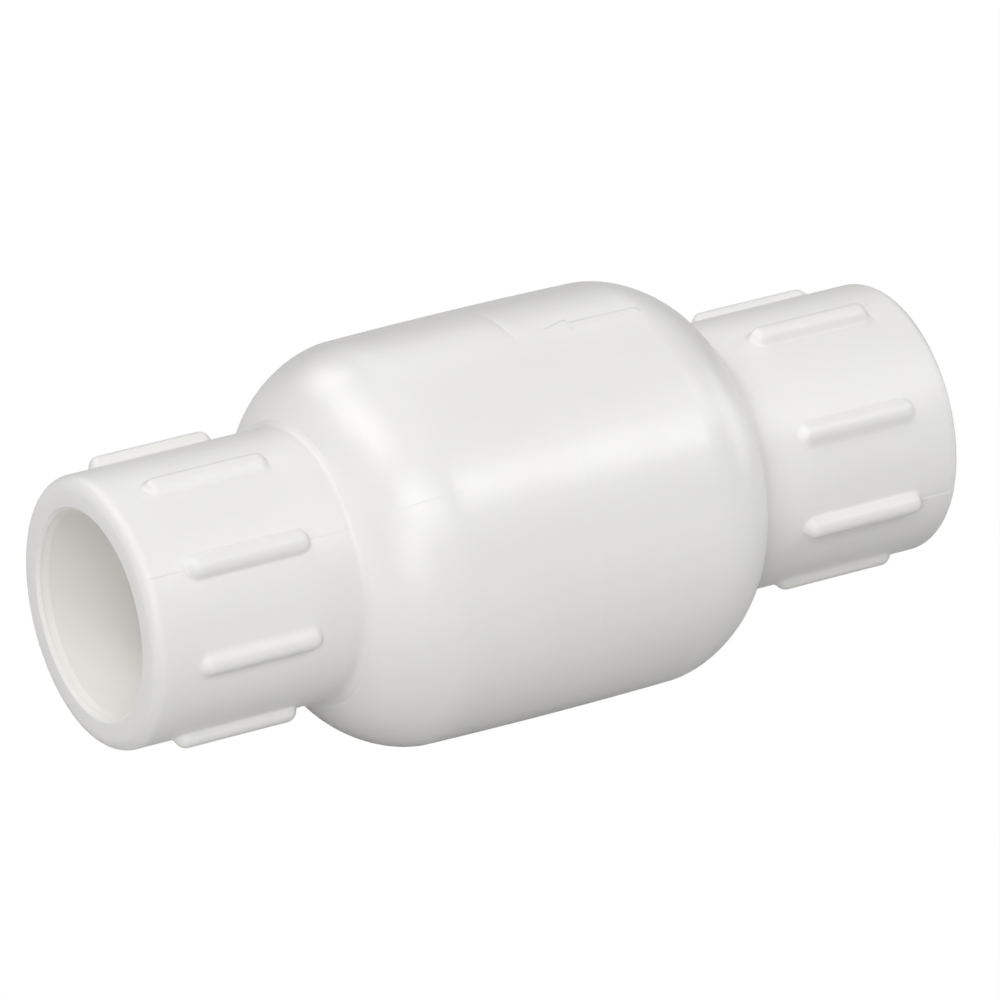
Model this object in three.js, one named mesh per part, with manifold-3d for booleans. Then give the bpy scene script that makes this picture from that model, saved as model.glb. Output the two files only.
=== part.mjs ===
// In-line spring check valve for half-inch solvent-weld plastic pipe, millimetres.
// X runs along the pipe: water comes in at the +X socket and leaves at the -X socket. Z is up.
// The origin is the middle of the valve, on the axis of the pipe.
import * as THREE from "three";
import { mergeVertices } from "three/addons/utils/BufferGeometryUtils.js";
import Module from "manifold-3d";

const wasm = await Module();
wasm.setup();

// ---------------------------------------------------------------- driving sizes

// Outside of the moulded shell
const BODY_OUTER_R = 21.55; // at the middle of the bulge
const BODY_CROWN = 0.15; // how much the bulge falls from its middle to its shoulders
const BULGE_LENGTH = 47.3; // neck to neck
const SHOULDER_LENGTH = 9.1;
const SHOULDER_POWER = 1.67; // of the superellipse: 2 is an ellipse, 1 is a cone
const NECK_FILLET = 1.2;
const RIM_ROUND = 1.45;

// Pipe sockets, with the taper of the pipe standard, and the waterway
const SOCKET_ENTRY_R = 10.77;
const SOCKET_TAPER = 0.15; // on the radius, from the mouth to the pipe stop
const SOCKET_DEPTH = 22.2;
const SOCKET_WALL = 3.63; // at the mouth
const MOUTH_CHAMFER = 0.53;
const STOP_WEB = 2.35; // neck to pipe stop, along the pipe
const PORT_R = 7.9;

// Chamber inside the bulge
const BODY_WALL = 3.45;
const END_WALL = 3.05; // neck to chamber, along the pipe
const CHAMBER_SHOULDER = 6.1;
const END_FLAT = 1.4; // flat end wall between the guide's pocket and the chamber's shoulder

// Lap joint that the two halves are welded at, in the middle of the bulge
const LAP_WALL = 1.75; // of the inlet half's lip
const LAP_LENGTH = 7;
const LAP_LEAD_IN = 0.5;

// Grip ribs
const RIB_COUNT = 8;
const RIB_LENGTH = 14;
const RIB_FROM_MOUTH = 12.1; // to the middle of the rib
const RIB_R = 1.2;
const RIB_RAISE = 0.1; // middle of a full rib's section above the socket
const LOW_RIB_SINK = 0.25; // the ribs between the mould's pull and its seam stand lower
const LOW_RIB_TURN_DEG = 3.75; // and lie nearer to the seam
const INLET_SEAM_DEG = 192.5; // about +X, from +Y
const OUTLET_SEAM_DEG = 143.5;

// Valve seat, a nozzle that stands out of the inlet end of the chamber
const SEAT_HEIGHT = 5.1;
const SEAT_LIP_WIDTH = 1.1;
const SEAT_ROOT_WIDTH = 3.3;
const SEAT_CHAMFER = 0.4;

// Poppet and what it carries
const TRAVEL = 5.5;
const HEAD_OVERLAP = 3.7; // how far the head reaches past the port
const HEAD_THICKNESS = 3.4;
const HEAD_CHAMFER = 0.5;
const SEAL_THICKNESS = 1.9;
const SEAL_CHAMFER = 0.5;
const SEAL_BOSS_R = 5;
const STEM_R = 2.4;
const STOP_STEP = 0.9; // step of the stem that lands on the guide
const SPRING_COLLAR_LENGTH = 2.2;
const STEM_IN_GUIDE = 6.2; // stem inside the guide bore while the valve is shut
const PILOT_DEPTH = 8;
const SCREW_R = 1.1;
const SCREW_HEAD_R = 2.7;
const SCREW_HEAD_HEIGHT = 1.9;
const SCREW_HEAD_SIDE = 0.6; // straight part of the head, as a share of its height
const SCREW_RECESS_REACH = 0.62; // of the head's radius
const SCREW_RECESS_DEPTH = 0.6; // of the head's height
const SCREW_SLOT = 0.7;
const RETAINER_THICKNESS = 1.2;
const WING_COUNT = 4;
const WING_LENGTH = 8;
const WING_THICKNESS = 1.2;
const WING_LEAD = 1;
const WING_ROOM = 1.3; // from the screw head to the wings

// Stem guide at the outlet end of the chamber
const GUIDE_OVERLAP = 3.6; // how far its ring reaches past the port
const GUIDE_RING_WALL = 1.8;
const GUIDE_RING_HEIGHT = 3;
const GUIDE_CHAMFER = 0.4;
const GUIDE_POCKET_DEPTH = 1.4;
const SPOKE_COUNT = 4;
const SPOKE_WIDTH = 2;
const HUB_TAIL = 2.3; // towards the outlet, past the ring
const PILOT_WALL = 1.3; // of the tube that goes up inside the spring
const SPRING_PILOT_LENGTH = 5.2;

// Spring
const WIRE_R = 0.3;
const SPRING_ROOM = 0.9; // between the spring and the tube inside it
const COLLAR_ROOM = 0.8; // between the spring and the poppet's collar
const HUB_EDGE = 0.2; // shoulder of the hub outside the spring
const ACTIVE_COILS = 9;
const END_COILS = 1; // close-wound, at each end
const END_COIL_PITCH = 0.65;

// Clearances
const REST_GAP = 0.3; // between two pieces that touch on the real valve
const SLIDE_GAP = 0.3; // round what slides

// How finely round shapes are cut
const SHELL_SIDES = 48;
const SMALL_SIDES = 32;
const SCREW_SIDES = 24;
const WIRE_SIDES = 6;
const STEPS_PER_COIL = 14;
const SHOULDER_STEPS = 8;
const SHOULDER_GATHER = 1.6; // gathers the steps towards the neck
const FILLET_STEPS = 3;
const RIM_STEPS = 4;
const CHAMBER_STEPS = 6;
const RIB_END_STEPS = 3;
const RIB_SIDES = 12;
const TOUCH_SAMPLES = 400; // of the shoulder, where the neck's fillet looks for it
const TOUCH_HALVINGS = 30;

// ---------------------------------------------------------------- sizes that follow

const HALF_LENGTH = BULGE_LENGTH / 2 + STOP_WEB + SOCKET_DEPTH;
const NECK_X = BULGE_LENGTH / 2;
const SHOULDER_X = NECK_X - SHOULDER_LENGTH;
const SOCKET_STOP_X = HALF_LENGTH - SOCKET_DEPTH;
const SOCKET_BOTTOM_R = SOCKET_ENTRY_R - SOCKET_TAPER;
const SOCKET_OUTER_R = SOCKET_ENTRY_R + SOCKET_WALL;
const RIB_MIDDLE = HALF_LENGTH - RIB_FROM_MOUTH;
const CHAMBER_R = BODY_OUTER_R - BODY_CROWN - BODY_WALL;
const CHAMBER_X = NECK_X - END_WALL;
const CHAMBER_SHOULDER_X = CHAMBER_X - CHAMBER_SHOULDER;
const LAP_R = CHAMBER_R + LAP_WALL;
const JOINT_U = REST_GAP / 2;

const SEAT_X = CHAMBER_X - SEAT_HEIGHT;
const HEAD_R = PORT_R + HEAD_OVERLAP;
const GUIDE_RING_R = PORT_R + GUIDE_OVERLAP;
const GUIDE_POCKET_R = GUIDE_RING_R + REST_GAP;
const CHAMBER_END_R = GUIDE_POCKET_R + END_FLAT;
const WING_R = PORT_R - SLIDE_GAP;
const RETAINER_R = PORT_R - 2 * SLIDE_GAP;
const GUIDE_BORE_R = STEM_R + SLIDE_GAP;
const STOP_STEM_R = STEM_R + STOP_STEP;
const SPRING_PILOT_R = GUIDE_BORE_R + PILOT_WALL;
const COIL_R = SPRING_PILOT_R + SPRING_ROOM + WIRE_R;
const SPRING_COLLAR_R = COIL_R - WIRE_R - COLLAR_ROOM;
const HUB_R = COIL_R + WIRE_R + HUB_EDGE;
const PILOT_R = SCREW_R + REST_GAP;
const WING_INNER_R = SCREW_HEAD_R + WING_ROOM;

// Along X, with the valve shut
const SEAL_FACE_X = SEAT_X - REST_GAP;
const SEAL_BACK_X = SEAL_FACE_X - SEAL_THICKNESS;
const HEAD_FACE_X = SEAL_BACK_X - REST_GAP;
const HEAD_BACK_X = HEAD_FACE_X - HEAD_THICKNESS;
const BOSS_END_X = SEAL_FACE_X - REST_GAP;
const RETAINER_BACK_X = SEAL_FACE_X + REST_GAP;
const RETAINER_FRONT_X = RETAINER_BACK_X + RETAINER_THICKNESS;
const SCREW_SEAT_X = RETAINER_FRONT_X + REST_GAP;
const GUIDE_BACK_X = -(CHAMBER_X + GUIDE_POCKET_DEPTH - REST_GAP);
const GUIDE_FRONT_X = GUIDE_BACK_X + GUIDE_RING_HEIGHT;
const PILOT_TIP_X = GUIDE_FRONT_X + SPRING_PILOT_LENGTH;
const STOP_SHOULDER_X = PILOT_TIP_X + TRAVEL + REST_GAP;
const STEM_TIP_X = PILOT_TIP_X - STEM_IN_GUIDE;
const SPRING_START_X = GUIDE_FRONT_X + REST_GAP + WIRE_R;
const SPRING_END_X = HEAD_BACK_X - REST_GAP - WIRE_R;

// ---------------------------------------------------------------- solids

// A geometry as a manifold-3d solid, for joining and cutting.
function solidOf(geometry) {
  const bare = geometry.clone();
  bare.deleteAttribute("normal");
  bare.deleteAttribute("uv");
  const merged = mergeVertices(bare, 1e-4);
  return new wasm.Manifold(
    new wasm.Mesh({
      numProp: 3,
      vertProperties: merged.attributes.position.array,
      triVerts: new Uint32Array(merged.index.array),
    }),
  );
}

// A manifold-3d solid as a three.js geometry.
function geometryOf(solid) {
  const mesh = solid.getMesh();
  const geometry = new THREE.BufferGeometry();
  geometry.setAttribute("position", new THREE.BufferAttribute(new Float32Array(mesh.vertProperties), 3));
  geometry.setIndex(new THREE.BufferAttribute(new Uint32Array(mesh.triVerts), 1));
  geometry.computeVertexNormals();
  return geometry;
}

// Turns a closed outline of [x, radius] points about the X axis.
function turned(outline, sides) {
  const points = outline.map(([x, r]) => new THREE.Vector2(r, x));
  if (THREE.ShapeUtils.area(points) < 0) points.reverse();
  const onAxis = points.findIndex((point) => point.x === 0);
  if (onAxis >= 0) {
    // A solid piece: its outline starts and ends on the axis.
    while (!(points[0].x === 0 && points[points.length - 1].x === 0)) points.push(points.shift());
  } else {
    points.push(points[0].clone());
  }
  const geometry = new THREE.LatheGeometry(points, sides);
  geometry.rotateZ(-Math.PI / 2);
  return geometry;
}

function box(x0, x1, y0, y1, z0, z1) {
  const geometry = new THREE.BoxGeometry(x1 - x0, y1 - y0, z1 - z0);
  geometry.translate((x0 + x1) / 2, (y0 + y1) / 2, (z0 + z1) / 2);
  return geometry;
}

// ---------------------------------------------------------------- shell halves

// Radius of the bulge, without the fillet at its neck, at a distance u from the middle.
function bulgeRadius(u) {
  if (u <= SHOULDER_X) return BODY_OUTER_R - BODY_CROWN * (u / SHOULDER_X) ** 2;
  const along = Math.min((u - SHOULDER_X) / SHOULDER_LENGTH, 1);
  const rise = BODY_OUTER_R - BODY_CROWN - SOCKET_OUTER_R;
  return SOCKET_OUTER_R + rise * (1 - along ** SHOULDER_POWER) ** (1 / SHOULDER_POWER);
}

// The fillet at the neck, as a ball that touches both the shoulder and the socket.
function neckFillet() {
  const shoulder = [];
  for (let i = 0; i <= TOUCH_SAMPLES; i++) {
    const u = SHOULDER_X + SHOULDER_LENGTH * (1 - (1 - i / TOUCH_SAMPLES) ** 2);
    shoulder.push(new THREE.Vector2(u, bulgeRadius(u)));
  }
  const nearest = (centre) =>
    shoulder.reduce((best, point) => (point.distanceTo(centre) < best.distanceTo(centre) ? point : best));
  const centre = new THREE.Vector2(NECK_X, SOCKET_OUTER_R + NECK_FILLET);
  let near = NECK_X;
  let far = NECK_X + 2 * NECK_FILLET;
  for (let i = 0; i < TOUCH_HALVINGS; i++) {
    centre.x = (near + far) / 2;
    if (nearest(centre).distanceTo(centre) < NECK_FILLET) near = centre.x;
    else far = centre.x;
  }
  return { centre, touch: nearest(centre) };
}

// The outside of a half from the joint to the mouth, as [u, radius] points.
// u is the distance from the middle of the valve.
function outerOutline() {
  const outline = [];
  for (const u of [JOINT_U, SHOULDER_X / 2, SHOULDER_X]) outline.push([u, bulgeRadius(u)]);
  const { centre, touch } = neckFillet();
  for (let i = 1; i <= SHOULDER_STEPS; i++) {
    const share = 1 - (1 - i / SHOULDER_STEPS) ** SHOULDER_GATHER;
    const u = SHOULDER_X + (touch.x - SHOULDER_X) * share;
    outline.push([u, bulgeRadius(u)]);
  }
  const start = Math.atan2(touch.y - centre.y, touch.x - centre.x);
  const end = -Math.PI / 2;
  const sweep = (end - start + 2 * Math.PI) % (2 * Math.PI);
  for (let i = 1; i <= FILLET_STEPS; i++) {
    const angle = start + (sweep * i) / FILLET_STEPS;
    outline.push([centre.x + NECK_FILLET * Math.cos(angle), centre.y + NECK_FILLET * Math.sin(angle)]);
  }
  for (let i = 0; i <= RIM_STEPS; i++) {
    const angle = (Math.PI / 2) * (1 - i / RIM_STEPS);
    const u = HALF_LENGTH - RIM_ROUND + RIM_ROUND * Math.cos(angle);
    outline.push([u, SOCKET_OUTER_R - RIM_ROUND + RIM_ROUND * Math.sin(angle)]);
  }
  return outline;
}

// The socket, from its mouth to the port.
function socketOutline() {
  return [
    [HALF_LENGTH, SOCKET_ENTRY_R + MOUTH_CHAMFER],
    [HALF_LENGTH - MOUTH_CHAMFER, SOCKET_ENTRY_R],
    [SOCKET_STOP_X, SOCKET_BOTTOM_R],
    [SOCKET_STOP_X, PORT_R],
  ];
}

// The rounded end of the chamber, from its flat end wall to its straight wall.
function chamberShoulder() {
  const outline = [];
  for (let i = 0; i <= CHAMBER_STEPS; i++) {
    const angle = (Math.PI / 2) * (i / CHAMBER_STEPS);
    const u = CHAMBER_SHOULDER_X + CHAMBER_SHOULDER * Math.cos(angle);
    outline.push([u, CHAMBER_END_R + (CHAMBER_R - CHAMBER_END_R) * Math.sin(angle)]);
  }
  return outline;
}

// One rib, lying on the socket at an angle about +X.
function rib(angle, raise) {
  const geometry = new THREE.CapsuleGeometry(RIB_R, RIB_LENGTH - 2 * RIB_R, RIB_END_STEPS, RIB_SIDES);
  geometry.rotateZ(-Math.PI / 2);
  geometry.translate(RIB_MIDDLE, SOCKET_OUTER_R + raise, 0);
  geometry.rotateX(angle);
  return geometry;
}

// The ribs start on the mould seam. The ones square to the seam or on it are full height.
function withRibs(shell, seamAngle) {
  let solid = solidOf(shell);
  const turn = THREE.MathUtils.degToRad(LOW_RIB_TURN_DEG);
  for (let i = 0; i < RIB_COUNT; i++) {
    const low = i % 2 === 1;
    const towardsSeam = i % 4 === 1 ? -1 : 1;
    const angle = seamAngle + (2 * Math.PI * i) / RIB_COUNT + (low ? turn * towardsSeam : 0);
    solid = solid.add(solidOf(rib(angle, low ? -LOW_RIB_SINK : RIB_RAISE)));
  }
  return geometryOf(solid);
}

// Both halves are built with their mouth towards +X.
// The inlet half carries the seat and the lap joint's lip.
function inletHalf() {
  const outline = [
    ...outerOutline(),
    ...socketOutline(),
    [SEAT_X + SEAT_CHAMFER, PORT_R],
    [SEAT_X, PORT_R + SEAT_CHAMFER],
    [SEAT_X, PORT_R + SEAT_LIP_WIDTH],
    [CHAMBER_X, PORT_R + SEAT_ROOT_WIDTH],
    ...chamberShoulder(),
    [-LAP_LENGTH, CHAMBER_R],
    [-LAP_LENGTH, LAP_R - LAP_LEAD_IN],
    [-LAP_LENGTH + LAP_LEAD_IN, LAP_R],
    [JOINT_U, LAP_R],
  ];
  return withRibs(turned(outline, SHELL_SIDES), THREE.MathUtils.degToRad(INLET_SEAM_DEG));
}

// The outlet half holds the stem guide in a pocket and takes the lip from outside.
function outletHalf() {
  const outline = [
    ...outerOutline(),
    ...socketOutline(),
    [CHAMBER_X + GUIDE_POCKET_DEPTH, PORT_R],
    [CHAMBER_X + GUIDE_POCKET_DEPTH, GUIDE_POCKET_R],
    [CHAMBER_X, GUIDE_POCKET_R],
    ...chamberShoulder(),
    [LAP_LENGTH + REST_GAP, CHAMBER_R],
    [LAP_LENGTH + REST_GAP, LAP_R + REST_GAP],
    [JOINT_U, LAP_R + REST_GAP],
  ];
  // The half is turned about Z to face -X, which mirrors angles about its own axis.
  const seam = Math.PI - THREE.MathUtils.degToRad(OUTLET_SEAM_DEG);
  return withRibs(turned(outline, SHELL_SIDES), seam);
}

// ---------------------------------------------------------------- poppet group, valve shut

function poppet() {
  const outline = [
    [STEM_TIP_X, 0],
    [STEM_TIP_X, STEM_R - HEAD_CHAMFER],
    [STEM_TIP_X + HEAD_CHAMFER, STEM_R],
    [STOP_SHOULDER_X, STEM_R],
    [STOP_SHOULDER_X, STOP_STEM_R],
    [HEAD_BACK_X - SPRING_COLLAR_LENGTH, STOP_STEM_R],
    [HEAD_BACK_X - SPRING_COLLAR_LENGTH, SPRING_COLLAR_R - HEAD_CHAMFER],
    [HEAD_BACK_X - SPRING_COLLAR_LENGTH + HEAD_CHAMFER, SPRING_COLLAR_R],
    [HEAD_BACK_X, SPRING_COLLAR_R],
    [HEAD_BACK_X, HEAD_R - 2 * HEAD_CHAMFER],
    [HEAD_BACK_X + 2 * HEAD_CHAMFER, HEAD_R],
    [HEAD_FACE_X - HEAD_CHAMFER, HEAD_R],
    [HEAD_FACE_X, HEAD_R - HEAD_CHAMFER],
    [HEAD_FACE_X, SEAL_BOSS_R],
    [BOSS_END_X, SEAL_BOSS_R],
    [BOSS_END_X, PILOT_R],
    [BOSS_END_X - PILOT_DEPTH, PILOT_R],
    [BOSS_END_X - PILOT_DEPTH - PILOT_R, 0],
  ];
  return turned(outline, SMALL_SIDES);
}

function seatSeal() {
  const outer = HEAD_R - SEAL_CHAMFER;
  const inner = SEAL_BOSS_R + REST_GAP;
  const outline = [
    [SEAL_BACK_X, inner],
    [SEAL_BACK_X, outer],
    [SEAL_FACE_X - SEAL_CHAMFER, outer],
    [SEAL_FACE_X, outer - SEAL_CHAMFER],
    [SEAL_FACE_X, inner],
  ];
  return turned(outline, SMALL_SIDES);
}

// A plate that holds the seal on, with wings that slide in the port.
function sealRetainer() {
  const disc = turned(
    [
      [RETAINER_BACK_X, PILOT_R],
      [RETAINER_BACK_X, RETAINER_R],
      [RETAINER_FRONT_X, RETAINER_R],
      [RETAINER_FRONT_X, PILOT_R],
    ],
    SMALL_SIDES,
  );
  let solid = solidOf(disc);
  const tip = RETAINER_FRONT_X + WING_LENGTH;
  const overlap = RETAINER_THICKNESS / 2;
  for (let i = 0; i < WING_COUNT; i++) {
    const outline = new THREE.Shape();
    outline.moveTo(RETAINER_FRONT_X - overlap, WING_INNER_R);
    outline.lineTo(RETAINER_FRONT_X - overlap, RETAINER_R - REST_GAP);
    outline.lineTo(RETAINER_FRONT_X, WING_R);
    outline.lineTo(tip - WING_LEAD, WING_R);
    outline.lineTo(tip, WING_R - WING_LEAD);
    outline.lineTo(tip, WING_INNER_R + WING_LEAD);
    const wing = new THREE.ExtrudeGeometry(outline, { depth: WING_THICKNESS, bevelEnabled: false });
    wing.translate(0, 0, -WING_THICKNESS / 2);
    wing.rotateX(Math.PI / 4 + (2 * Math.PI * i) / WING_COUNT);
    solid = solid.add(solidOf(wing));
  }
  return geometryOf(solid);
}

// A pan-head screw with a cross recess.
function retainerScrew() {
  const top = SCREW_SEAT_X + SCREW_HEAD_HEIGHT;
  const side = SCREW_SEAT_X + SCREW_HEAD_SIDE * SCREW_HEAD_HEIGHT;
  const outline = [
    [BOSS_END_X - PILOT_DEPTH + REST_GAP, 0],
    [BOSS_END_X - PILOT_DEPTH + REST_GAP + SCREW_R, SCREW_R],
    [SCREW_SEAT_X, SCREW_R],
    [SCREW_SEAT_X, SCREW_HEAD_R],
    [side, SCREW_HEAD_R],
    [(side + 3 * top) / 4, 0.8 * SCREW_HEAD_R],
    [top, SCREW_HEAD_R / 2],
    [top, 0],
  ];
  let solid = solidOf(turned(outline, SCREW_SIDES));
  const reach = SCREW_RECESS_REACH * SCREW_HEAD_R;
  const depth = SCREW_RECESS_DEPTH * SCREW_HEAD_HEIGHT;
  const half = SCREW_SLOT / 2;
  solid = solid.subtract(solidOf(box(top - depth, top + 1, -reach, reach, -half, half)));
  solid = solid.subtract(solidOf(box(top - depth, top + 1, -half, half, -reach, reach)));
  return geometryOf(solid);
}

// ---------------------------------------------------------------- guide and spring

// A ring, spokes and a hub that the poppet's stem slides in.
function stemGuide() {
  const ring = turned(
    [
      [GUIDE_BACK_X, GUIDE_RING_R - GUIDE_RING_WALL],
      [GUIDE_BACK_X, GUIDE_RING_R - GUIDE_CHAMFER],
      [GUIDE_BACK_X + GUIDE_CHAMFER, GUIDE_RING_R],
      [GUIDE_FRONT_X - GUIDE_CHAMFER, GUIDE_RING_R],
      [GUIDE_FRONT_X, GUIDE_RING_R - GUIDE_CHAMFER],
      [GUIDE_FRONT_X, GUIDE_RING_R - GUIDE_RING_WALL],
    ],
    SMALL_SIDES,
  );
  const hub = turned(
    [
      [GUIDE_BACK_X - HUB_TAIL, GUIDE_BORE_R],
      [GUIDE_BACK_X - HUB_TAIL, HUB_R - 2 * GUIDE_CHAMFER],
      [GUIDE_BACK_X - HUB_TAIL + 2 * GUIDE_CHAMFER, HUB_R],
      [GUIDE_FRONT_X, HUB_R],
      [GUIDE_FRONT_X, SPRING_PILOT_R],
      [PILOT_TIP_X - 2 * GUIDE_CHAMFER, SPRING_PILOT_R],
      [PILOT_TIP_X, SPRING_PILOT_R - GUIDE_CHAMFER],
      [PILOT_TIP_X, GUIDE_BORE_R],
    ],
    SMALL_SIDES,
  );
  let solid = solidOf(ring).add(solidOf(hub));
  const inner = (GUIDE_BORE_R + HUB_R) / 2;
  const outer = GUIDE_RING_R - GUIDE_RING_WALL / 2;
  for (let i = 0; i < SPOKE_COUNT; i++) {
    const half = SPOKE_WIDTH / 2;
    const spoke = box(GUIDE_BACK_X, GUIDE_FRONT_X, inner, outer, -half, half);
    spoke.rotateX((2 * Math.PI * i) / SPOKE_COUNT);
    solid = solid.add(solidOf(spoke));
  }
  return geometryOf(solid);
}

// A compression spring with a close-wound coil at each end.
class SpringPath extends THREE.Curve {
  getPoint(t, target = new THREE.Vector3()) {
    const coils = ACTIVE_COILS + 2 * END_COILS;
    const turn = t * coils;
    const span = SPRING_END_X - SPRING_START_X - 2 * END_COILS * END_COIL_PITCH;
    const active = THREE.MathUtils.clamp(turn - END_COILS, 0, ACTIVE_COILS);
    const closed = turn - active;
    const x = SPRING_START_X + closed * END_COIL_PITCH + (active / ACTIVE_COILS) * span;
    const angle = 2 * Math.PI * turn;
    return target.set(x, COIL_R * Math.cos(angle), COIL_R * Math.sin(angle));
  }
}

function poppetSpring() {
  const section = new THREE.Shape();
  for (let i = 0; i < WIRE_SIDES; i++) {
    const angle = (2 * Math.PI * i) / WIRE_SIDES;
    const point = [WIRE_R * Math.cos(angle), WIRE_R * Math.sin(angle)];
    if (i) section.lineTo(...point);
    else section.moveTo(...point);
  }
  const steps = (ACTIVE_COILS + 2 * END_COILS) * STEPS_PER_COIL;
  return new THREE.ExtrudeGeometry(section, { steps, extrudePath: new SpringPath(), bevelEnabled: false });
}

// ---------------------------------------------------------------- assembly

function plastic(color, roughness) {
  return new THREE.MeshStandardMaterial({ color, roughness, metalness: 0 });
}

function steel(color, roughness) {
  return new THREE.MeshStandardMaterial({ color, roughness, metalness: 1 });
}

function piece(name, geometry, material) {
  const mesh = new THREE.Mesh(geometry, material);
  mesh.name = name;
  return mesh;
}

const valve = new THREE.Group();

const shell = new THREE.Group();
shell.add(piece("inlet_half", inletHalf(), plastic(0xe9e8e4, 0.42)));
const outlet = piece("outlet_half", outletHalf(), plastic(0xe9e8e4, 0.42));
outlet.rotation.z = Math.PI;
shell.add(outlet);
shell.add(piece("stem_guide", stemGuide(), plastic(0xd9d7d0, 0.5)));
valve.add(shell);

const moving = new THREE.Group();
moving.add(piece("poppet", poppet(), plastic(0xd9d7d0, 0.5)));
moving.add(piece("seat_seal", seatSeal(), plastic(0x1b1b1c, 0.75)));
moving.add(piece("seal_retainer", sealRetainer(), plastic(0xd9d7d0, 0.5)));
moving.add(piece("retainer_screw", retainerScrew(), steel(0xb9bab8, 0.3)));
valve.add(moving);

valve.add(piece("poppet_spring", poppetSpring(), steel(0xc2c3c1, 0.28)));

export default valve;
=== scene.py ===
"""An in-line spring check valve for half-inch plastic pipe, in white PVC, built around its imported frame.

X runs along the pipe, from the outlet socket (-X) to the inlet socket (+X), and Z is up. Sizes are in
millimetres and become metres where a mesh is made. On a half of the shell, u is the distance from the
middle of the valve, and an angle is measured about +X from +Y.
"""

import math
from itertools import product

import bmesh
import bpy
import numpy as np
from mathutils import Matrix, Vector


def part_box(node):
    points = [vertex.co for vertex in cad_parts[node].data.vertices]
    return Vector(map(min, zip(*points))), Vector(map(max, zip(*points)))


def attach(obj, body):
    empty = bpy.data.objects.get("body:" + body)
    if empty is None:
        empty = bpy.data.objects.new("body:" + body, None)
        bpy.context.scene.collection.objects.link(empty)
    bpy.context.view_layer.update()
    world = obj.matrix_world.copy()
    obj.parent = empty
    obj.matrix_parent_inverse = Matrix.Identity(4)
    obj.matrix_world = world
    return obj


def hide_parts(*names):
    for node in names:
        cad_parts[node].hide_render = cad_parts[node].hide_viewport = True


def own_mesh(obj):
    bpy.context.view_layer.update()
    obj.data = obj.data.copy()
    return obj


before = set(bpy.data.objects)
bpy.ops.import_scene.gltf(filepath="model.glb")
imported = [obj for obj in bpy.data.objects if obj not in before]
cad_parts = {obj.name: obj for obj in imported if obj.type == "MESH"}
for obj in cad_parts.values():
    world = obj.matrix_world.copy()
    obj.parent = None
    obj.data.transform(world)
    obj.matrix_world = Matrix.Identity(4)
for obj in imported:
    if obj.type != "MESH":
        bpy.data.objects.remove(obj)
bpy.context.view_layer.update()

MM = 0.001
SHELL_BODY = "valve_shell"
POPPET_BODY = "poppet_group"


def cad_span(node, axis):
    """Lowest and highest coordinate of a CAD node along an axis, in millimetres."""
    low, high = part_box(node)
    return low[axis] / MM, high[axis] / MM


# ---------------------------------------------------------------- sizes

# Shell, from the frame
HALF_LENGTH = cad_span("inlet_half", 0)[1]
BODY_R = cad_span("inlet_half", 2)[1]
LAP_LENGTH = -cad_span("inlet_half", 0)[0]

# Shell, outside
SOCKET_R = 14.4
BODY_CROWN = 0.15
NECK_U = 23.65
SHOULDER_LENGTH = 9.1
SHOULDER_POWER = 1.67
NECK_FILLET = 1.2
RIM_ROUND = 1.45
JOINT_GAP = 0.002  # between the welded halves, at their outside
JOINT_EDGE = 0.03
JOINT_OPEN = (93.0, 9.0)  # angle and spread, in degrees, of the stretch where the weld shows
JOINT_FLUSH = 0.12  # share of the edge that is left elsewhere
SHELL_SHARP_DEG = 70

# Shell, inside
ENTRY_R = 10.77
BOTTOM_R = 10.62
SOCKET_DEPTH = 22.2
MOUTH_CHAMFER = 0.53
MOUTH_STEPS = ((0.55, 0.3), (1.1, 0.28))  # depth and growth of the step in it, as shares of the chamfer
MOUTH_EDGE = 0.12
MOUTH_LAND = 1.25  # depth of the slight lead-in behind the chamfer
STOP_FILLET = 0.5
PORT_EDGE = 0.3
PORT_R = 7.9
CHAMBER_U = 20.6
CHAMBER_R = 17.95
CHAMBER_END_R = 13.2
CHAMBER_SHOULDER = 6.1
CHAMBER_END_FLAT = 0.4
LAP_R = 19.7
LAP_GAP = 0.1
LAP_LEAD_IN = 0.5
SEAT_U = 15.5
SEAT_LIP_R = 9.0
SEAT_ROOT_R = 11.2
POCKET_R = 11.8
POCKET_DEPTH = 1.4

# Ribs
RIB_COUNT = 8
RIB_R = 1.2
RIB_RAISE = 0.1  # middle of a full rib's section above the socket
RIB_LENGTH = 14.0
RIB_MIDDLE = 36.1
RIB_FOOT = 0.36  # how far the rib blends into the socket
LOW_RIB_SINK = 0.25  # a diagonal rib stands lower and lies nearer to the mould seam
LOW_RIB_TURN = math.radians(3.75)
RIB_RAMP = 3.0  # and has a ramp that lets it out of the mould

# Mould seams: a small step where the two sides of the mould met
INLET_SEAM = 192.5
OUTLET_SEAM = 143.5
SEAM_STEP = 0.045
SEAM_WIDTH = 0.09
SEAM_REACH = 2.2  # either side, over which the step fades into the surface
SEAM_LEFT = 0.45  # share of the step that wear has left, and how far that comes and goes
SEAM_LEFT_SWING = 0.35
SEAM_ON_RIB = (0.05, 0.4)  # rib heights over which the seam fades out
INLET_SEAM_FADE = (41.0, 44.5)  # the seam shows from here to the mouth
OUTLET_SEAM_FADE = (13.0, 17.0)

# Flow arrow on the inlet half
ARROW_ANGLE = 99.5
ARROW_TAIL = 14.9
ARROW_NECK = 5.6
ARROW_TIP = 3.6
ARROW_SHAFT = 0.32  # half width
ARROW_BARB = 1.0
ARROW_BACK = 0.9  # how far the barbs reach back past the neck
ARROW_HEIGHT = 0.12
ARROW_EDGE = 0.3

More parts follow.
